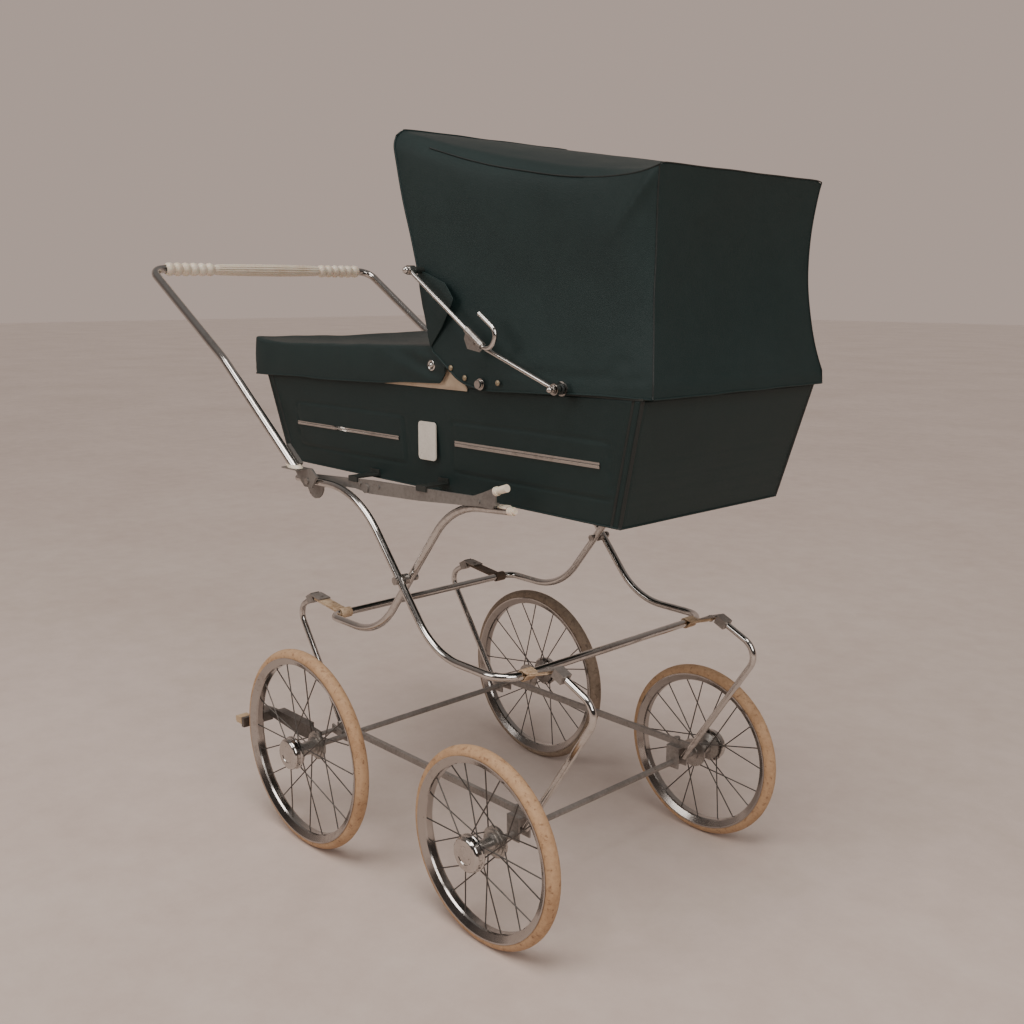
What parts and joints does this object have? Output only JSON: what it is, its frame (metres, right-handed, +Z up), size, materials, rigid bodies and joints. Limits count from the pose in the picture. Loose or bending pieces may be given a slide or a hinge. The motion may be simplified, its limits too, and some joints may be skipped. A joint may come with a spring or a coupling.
{
  "type": "baby stroller",
  "caption": "Coach-built baby pram: lift-off cot with folding hood and foot cover on a crossed-tube folding chassis with C-springs and wire wheels.",
  "frame": {"origin": "on the floor under the middle of the whole pram", "axes": "+X the way the pram is pushed (hood end), +Y its left side, +Z up"},
  "size_m": [1.2302, 0.648, 1.209],
  "materials": {
    "tyre_tan_rubber": "matt, worn",
    "chrome_rim": "bright, slightly dulled",
    "spoke_steel": "dark, oxidised",
    "chrome_cap": "bright",
    "hub_steel": "satin",
    "dull_steel": "dull, aged",
    "chrome_tube": "bright, slightly dulled",
    "zinc_steel": "satin, aged",
    "plated_steel": "satin",
    "strap_leather": "matt, worn",
    "cream_plastic": "satin",
    "green_vinyl": "grained, soft sheen",
    "cream_lining": "matt",
    "pale_plate": "plain satin",
    "chrome_strip": "bright",
    "rim_frame_steel": "dark enamel",
    "bow_steel": "dark enamel",
    "stay_steel": "bright, slightly dulled"
  },
  "bodies": {
    "undercarriage": {"axles": "dull_steel", "axle_brackets": "dull_steel", "side_bars": "dull_steel", "c_springs": "chrome_tube", "spring_clips": "plated_steel", "front_straps": "strap_leather", "rear_straps": "strap_leather", "chassis_bolts": "plated_steel", "brake_bracket": "dull_steel"},
    "brake_lever": {"brake_lever": "dull_steel", "brake_pedal": "cream_plastic"},
    "outer_frame": {"outer_frame": "chrome_tube", "pivot_pins": "plated_steel"},
    "inner_frame": {"inner_frame": "chrome_tube", "frame_plugs": "cream_plastic"},
    "cot_rails": {"cot_rails": "zinc_steel", "rail_fittings": "zinc_steel"},
    "handle": {"handle_tube": "chrome_tube", "handle_grip": "cream_plastic", "handle_plugs": "cream_plastic", "handle_brackets": "zinc_steel"},
    "cot": {"cot_shell": "green_vinyl", "cot_lining": "cream_lining", "cot_rim": "rim_frame_steel", "cot_hooks": "zinc_steel", "trim_strips": "chrome_strip", "side_badges": "pale_plate", "hood_canopy": "green_vinyl", "back_bow": "bow_steel", "hood_studs": "stay_steel"},
    "apron": {"apron": "green_vinyl"},
    "front_bow": {"front_bow": "bow_steel"},
    "stay_lower_arms": {"stay_lower_arms": "stay_steel"},
    "stay_upper_arms": {"stay_rods": "stay_steel", "stay_plates": "stay_steel"},
    "latch_right": {"latch_lever_right": "zinc_steel", "latch_knob_right": "cream_plastic"},
    "wheel_front_right": {"tyre_front_right": "tyre_tan_rubber", "rim_front_right": "chrome_rim", "spokes_front_right": "spoke_steel", "hub_front_right": "hub_steel", "hub_cap_front_right": "chrome_cap"},
    "wheel_rear_right": {"tyre_rear_right": "tyre_tan_rubber", "rim_rear_right": "chrome_rim", "spokes_rear_right": "spoke_steel", "hub_rear_right": "hub_steel", "hub_cap_rear_right": "chrome_cap"},
    "latch_left": {"latch_lever_left": "zinc_steel", "latch_knob_left": "cream_plastic"},
    "wheel_front_left": {"tyre_front_left": "tyre_tan_rubber", "rim_front_left": "chrome_rim", "spokes_front_left": "spoke_steel", "hub_front_left": "hub_steel", "hub_cap_front_left": "chrome_cap"},
    "wheel_rear_left": {"tyre_rear_left": "tyre_tan_rubber", "rim_rear_left": "chrome_rim", "spokes_rear_left": "spoke_steel", "hub_rear_left": "hub_steel", "hub_cap_rear_left": "chrome_cap"}
  },
  "joints": [
    {"name": "front_right_wheel_spin", "type": "hinge", "parent": "undercarriage", "child": "wheel_front_right", "pos_m": [0.3714, -0.265, 0.1555], "axis": [0, 1, 0], "continuous": true},
    {"name": "rear_right_wheel_spin", "type": "hinge", "parent": "undercarriage", "child": "wheel_rear_right", "pos_m": [-0.0731, -0.285, 0.178], "axis": [0, 1, 0], "continuous": true},
    {"name": "front_left_wheel_spin", "type": "hinge", "parent": "undercarriage", "child": "wheel_front_left", "pos_m": [0.3714, 0.265, 0.1555], "axis": [0, 1, 0], "continuous": true},
    {"name": "rear_left_wheel_spin", "type": "hinge", "parent": "undercarriage", "child": "wheel_rear_left", "pos_m": [-0.0731, 0.285, 0.178], "axis": [0, 1, 0], "continuous": true},
    {"name": "brake_press", "type": "hinge", "parent": "undercarriage", "child": "brake_lever", "pos_m": [-0.10085, -0.24, 0.183], "axis": [0, 1, 0], "range_deg": [-15, 0]},
    {"name": "frame_fold", "type": "hinge", "parent": "undercarriage", "child": "outer_frame", "pos_m": [0.38715, 0, 0.4125], "axis": [0, 1, 0], "range_deg": [-20, 0], "deforming": ["rear_straps"]},
    {"name": "frame_cross", "type": "hinge", "parent": "outer_frame", "child": "inner_frame", "pos_m": [0.14615, 0, 0.518], "axis": [0, 1, 0], "range_deg": [0, 40]},
    {"name": "rail_level", "type": "hinge", "parent": "outer_frame", "child": "cot_rails", "pos_m": [-0.09185, 0, 0.648], "axis": [0, 1, 0], "range_deg": [0, 20]},
    {"name": "handle_swing", "type": "hinge", "parent": "cot_rails", "child": "handle", "pos_m": [-0.09185, 0, 0.648], "axis": [0, 1, 0], "range_deg": [-70, 0]},
    {"name": "latch_right_turn", "type": "hinge", "parent": "cot_rails", "child": "latch_right", "pos_m": [0.32715, -0.232, 0.6685], "axis": [0, 1, 0], "range_deg": [-35, 0]},
    {"name": "latch_left_turn", "type": "hinge", "parent": "cot_rails", "child": "latch_left", "pos_m": [0.32715, 0.232, 0.6685], "axis": [0, 1, 0], "range_deg": [-35, 0]},
    {"name": "cot_lift", "type": "slide", "parent": "cot_rails", "child": "cot", "axis": [0, 0, 1], "range_m": [0, 0.15]},
    {"name": "apron_lift", "type": "slide", "parent": "cot", "child": "apron", "axis": [-0.8, 0, 0.6], "range_m": [0, 0.15]},
    {"name": "hood_fold", "type": "hinge", "parent": "cot", "child": "front_bow", "pos_m": [0.30915, 0, 0.836], "axis": [0, 1, 0], "range_deg": [0, 70], "deforming": ["hood_canopy"]},
    {"name": "stay_foot_turn", "type": "hinge", "parent": "cot", "child": "stay_lower_arms", "pos_m": [0.47115, 0, 0.84], "axis": [0, 1, 0], "range_deg": [-12, 0]},
    {"name": "stay_elbow_turn", "type": "hinge", "parent": "stay_lower_arms", "child": "stay_upper_arms", "pos_m": [0.31415, 0, 0.895], "axis": [0, 1, 0], "range_deg": [0, 100]}
  ],
  "couplings": [
    {"joint": "frame_cross", "follows": "frame_fold", "ratio": -2},
    {"joint": "rail_level", "follows": "frame_fold", "ratio": -1},
    {"joint": "stay_foot_turn", "follows": "hood_fold", "ratio": -0.1},
    {"joint": "stay_elbow_turn", "follows": "hood_fold", "ratio": 1.36}
  ]
}
